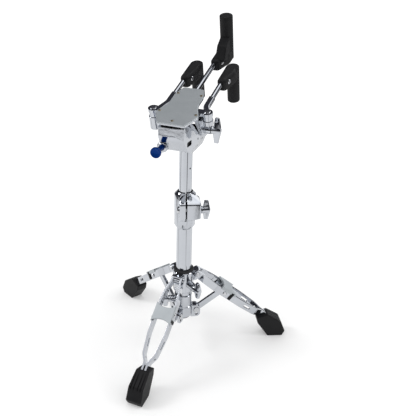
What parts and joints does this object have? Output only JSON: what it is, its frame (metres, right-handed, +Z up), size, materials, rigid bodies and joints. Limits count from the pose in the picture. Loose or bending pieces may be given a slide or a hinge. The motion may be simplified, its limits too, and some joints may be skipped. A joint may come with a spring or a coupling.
{
  "type": "snare drum stand",
  "caption": "Folding tripod stand with a gas-lift telescopic column, a release button and a tilting basket of hinged arms with rubber grips that holds a snare drum",
  "frame": {"origin": "on the column's axis at floor level, where the three soles stand", "axes": "X along the basket's tilt axis to the wing nut's side, Y to the back where the arms point, Z up"},
  "size_m": [0.4047, 0.4489, 0.6594],
  "materials": {
    "chrome": "polished chrome plate",
    "satin_metal": "satin plated",
    "warm_steel": "zinc yellow",
    "black_rubber": "moulded matt rubber",
    "blue_knob": "blue anodised",
    "black_nylon": "moulded nylon",
    "bare_steel": "ground steel",
    "black_case": "black paint"
  },
  "bodies": {
    "lower_column": {"lower_tube": "chrome", "tube_plug": "black_nylon", "height_clamp": "chrome", "clamp_bush": "black_nylon", "clamp_bolt": "chrome", "brace_hub": "chrome"},
    "clamp_wing_nut": {"clamp_wing_nut": "chrome"},
    "gas_rod": {"gas_spring_rod": "bare_steel"},
    "upper_column": {"upper_tube": "chrome", "gas_spring_cylinder": "black_case", "tilter_casting": "chrome", "tilt_bolt": "chrome", "button_guide": "chrome"},
    "release_button": {"release_button": "blue_knob", "button_stem": "bare_steel", "button_spring": "bare_steel"},
    "release_rocker": {"release_rocker": "bare_steel"},
    "valve_pin": {"valve_pin": "bare_steel"},
    "basket": {"basket_frame": "chrome", "cover_plate": "satin_metal", "cover_screws": "warm_steel", "arm_hinge_pins": "chrome"},
    "tilt_wing_nut": {"tilt_wing_nut": "chrome"},
    "left_arm": {"left_arm": "chrome"},
    "right_arm": {"right_arm": "chrome"},
    "rear_arm": {"rear_arm": "chrome"},
    "left_grip": {"left_grip": "black_rubber", "left_grip_screw": "chrome"},
    "right_grip": {"right_grip": "black_rubber", "right_grip_screw": "chrome"},
    "rear_grip": {"rear_grip": "black_rubber", "rear_grip_screw": "chrome"},
    "leg_collar": {"leg_collar": "chrome", "collar_bush": "black_nylon", "leg_pivot_pins": "chrome"},
    "collar_wing_screw": {"collar_wing_screw": "chrome"},
    "hub_wing_screw": {"hub_wing_screw": "chrome"},
    "front_leg": {"front_leg_left_strap": "chrome", "front_leg_right_strap": "chrome", "front_leg_bridge": "satin_metal", "front_leg_pads": "black_rubber", "front_leg_foot": "black_rubber"},
    "front_brace": {"front_brace": "chrome", "front_brace_rivets": "chrome"},
    "right_leg": {"right_leg_left_strap": "chrome", "right_leg_right_strap": "chrome", "right_leg_bridge": "satin_metal", "right_leg_pads": "black_rubber", "right_leg_foot": "black_rubber"},
    "right_brace": {"right_brace": "chrome", "right_brace_rivets": "chrome"},
    "left_leg": {"left_leg_left_strap": "chrome", "left_leg_right_strap": "chrome", "left_leg_bridge": "satin_metal", "left_leg_pads": "black_rubber", "left_leg_foot": "black_rubber"},
    "left_brace": {"left_brace": "chrome", "left_brace_rivets": "chrome"}
  },
  "joints": [
    {"name": "clamp_wing_turn", "type": "hinge", "parent": "lower_column", "child": "clamp_wing_nut", "pos_m": [0.0112, -0.02402, 0.326], "axis": [0.9063, 0.4226, 0], "continuous": true},
    {"name": "column_swivel", "type": "hinge", "parent": "lower_column", "child": "gas_rod", "pos_m": [0, 0, 0.3], "axis": [0, 0, 1], "continuous": true},
    {"name": "height_lift", "type": "slide", "parent": "gas_rod", "child": "upper_column", "axis": [0, 0, 1], "range_m": [-0.07, 0.1]},
    {"name": "button_press", "type": "slide", "parent": "upper_column", "child": "release_button", "axis": [0, 1, 0], "range_m": [0, 0.003], "stiffness_N_per_m": 1500, "springref_m": -0.002, "deforming": ["button_spring"]},
    {"name": "rocker_turn", "type": "hinge", "parent": "upper_column", "child": "release_rocker", "pos_m": [0, 0.014, 0.4735], "axis": [1, 0, 0], "range_deg": [0, 21.6]},
    {"name": "valve_press", "type": "slide", "parent": "upper_column", "child": "valve_pin", "axis": [0, 0, -1], "range_m": [0, 0.006]},
    {"name": "basket_tilt", "type": "hinge", "parent": "upper_column", "child": "basket", "pos_m": [0, 0, 0.485], "axis": [1, 0, 0], "range_deg": [-40, 2]},
    {"name": "tilt_wing_turn", "type": "hinge", "parent": "basket", "child": "tilt_wing_nut", "pos_m": [0.06, 0, 0.485], "axis": [1, 0, 0], "continuous": true},
    {"name": "left_arm_swing", "type": "hinge", "parent": "basket", "child": "left_arm", "pos_m": [-0.049, -0.03589, 0.51411], "axis": [0, -0.2622, 0.965], "range_deg": [0, 120]},
    {"name": "right_arm_swing", "type": "hinge", "parent": "basket", "child": "right_arm", "pos_m": [0.049, -0.0272, 0.51647], "axis": [0, 0.2622, -0.965], "range_deg": [0, 120]},
    {"name": "rear_arm_slide", "type": "slide", "parent": "basket", "child": "rear_arm", "axis": [0, 0.965, 0.2622], "range_m": [0, 0.03]},
    {"name": "left_grip_swivel", "type": "hinge", "parent": "left_arm", "child": "left_grip", "pos_m": [-0.0365, 0.07798, 0.54505], "axis": [0, 0.965, 0.2622], "range_deg": [0, 180]},
    {"name": "right_grip_swivel", "type": "hinge", "parent": "right_arm", "child": "right_grip", "pos_m": [0.0365, 0.08184, 0.5461], "axis": [0, -0.965, -0.2622], "range_deg": [0, 180]},
    {"name": "rear_grip_swivel", "type": "hinge", "parent": "rear_arm", "child": "rear_grip", "pos_m": [0, 0.15133, 0.56497], "axis": [0, 0.965, 0.2622], "range_deg": [-90, 90]},
    {"name": "tripod_fold", "type": "slide", "parent": "lower_column", "child": "leg_collar", "axis": [0, 0, 1], "range_m": [0, 0.05418]},
    {"name": "front_leg_fold", "type": "hinge", "parent": "leg_collar", "child": "front_leg", "pos_m": [-0.00171, -0.02795, 0.168], "axis": [0.9981, -0.061, 0], "range_deg": [0, 45.2]},
    {"name": "front_brace_fold", "type": "hinge", "parent": "front_leg", "child": "front_brace", "pos_m": [-0.0052, -0.08497, 0.12256], "axis": [0.9981, -0.061, 0], "range_deg": [-90.41, 0]},
    {"name": "right_leg_fold", "type": "hinge", "parent": "leg_collar", "child": "right_leg", "pos_m": [0.02506, 0.01249, 0.168], "axis": [-0.4462, 0.8949, 0], "range_deg": [0, 45.2]},
    {"name": "right_brace_fold", "type": "hinge", "parent": "right_leg", "child": "right_brace", "pos_m": [0.07619, 0.03799, 0.12256], "axis": [-0.4462, 0.8949, 0], "range_deg": [-90.41, 0]},
    {"name": "left_leg_fold", "type": "hinge", "parent": "leg_collar", "child": "left_leg", "pos_m": [-0.02335, 0.01545, 0.168], "axis": [-0.5519, -0.8339, 0], "range_deg": [0, 45.2]},
    {"name": "left_brace_fold", "type": "hinge", "parent": "left_leg", "child": "left_brace", "pos_m": [-0.07099, 0.04699, 0.12256], "axis": [-0.5519, -0.8339, 0], "range_deg": [-90.41, 0]},
    {"name": "collar_wing_turn", "type": "hinge", "parent": "leg_collar", "child": "collar_wing_screw", "pos_m": [0.03233, -0.02181, 0.15], "axis": [0.829, -0.5592, 0], "continuous": true},
    {"name": "hub_wing_turn", "type": "hinge", "parent": "lower_column", "child": "hub_wing_screw", "pos_m": [-0.02427, -0.01184, 0.104], "axis": [-0.8988, -0.4384, 0], "continuous": true}
  ],
  "couplings": [
    {"joint": "rocker_turn", "follows": "button_press", "rad_per_m": 125},
    {"joint": "valve_press", "follows": "button_press", "ratio": 1.93},
    {"joint": "front_leg_fold", "follows": "tripod_fold", "rad_per_m": 14.497},
    {"joint": "front_brace_fold", "follows": "tripod_fold", "rad_per_m": -28.993},
    {"joint": "right_leg_fold", "follows": "tripod_fold", "rad_per_m": 14.497},
    {"joint": "right_brace_fold", "follows": "tripod_fold", "rad_per_m": -28.993},
    {"joint": "left_leg_fold", "follows": "tripod_fold", "rad_per_m": 14.497},
    {"joint": "left_brace_fold", "follows": "tripod_fold", "rad_per_m": -28.993}
  ]
}
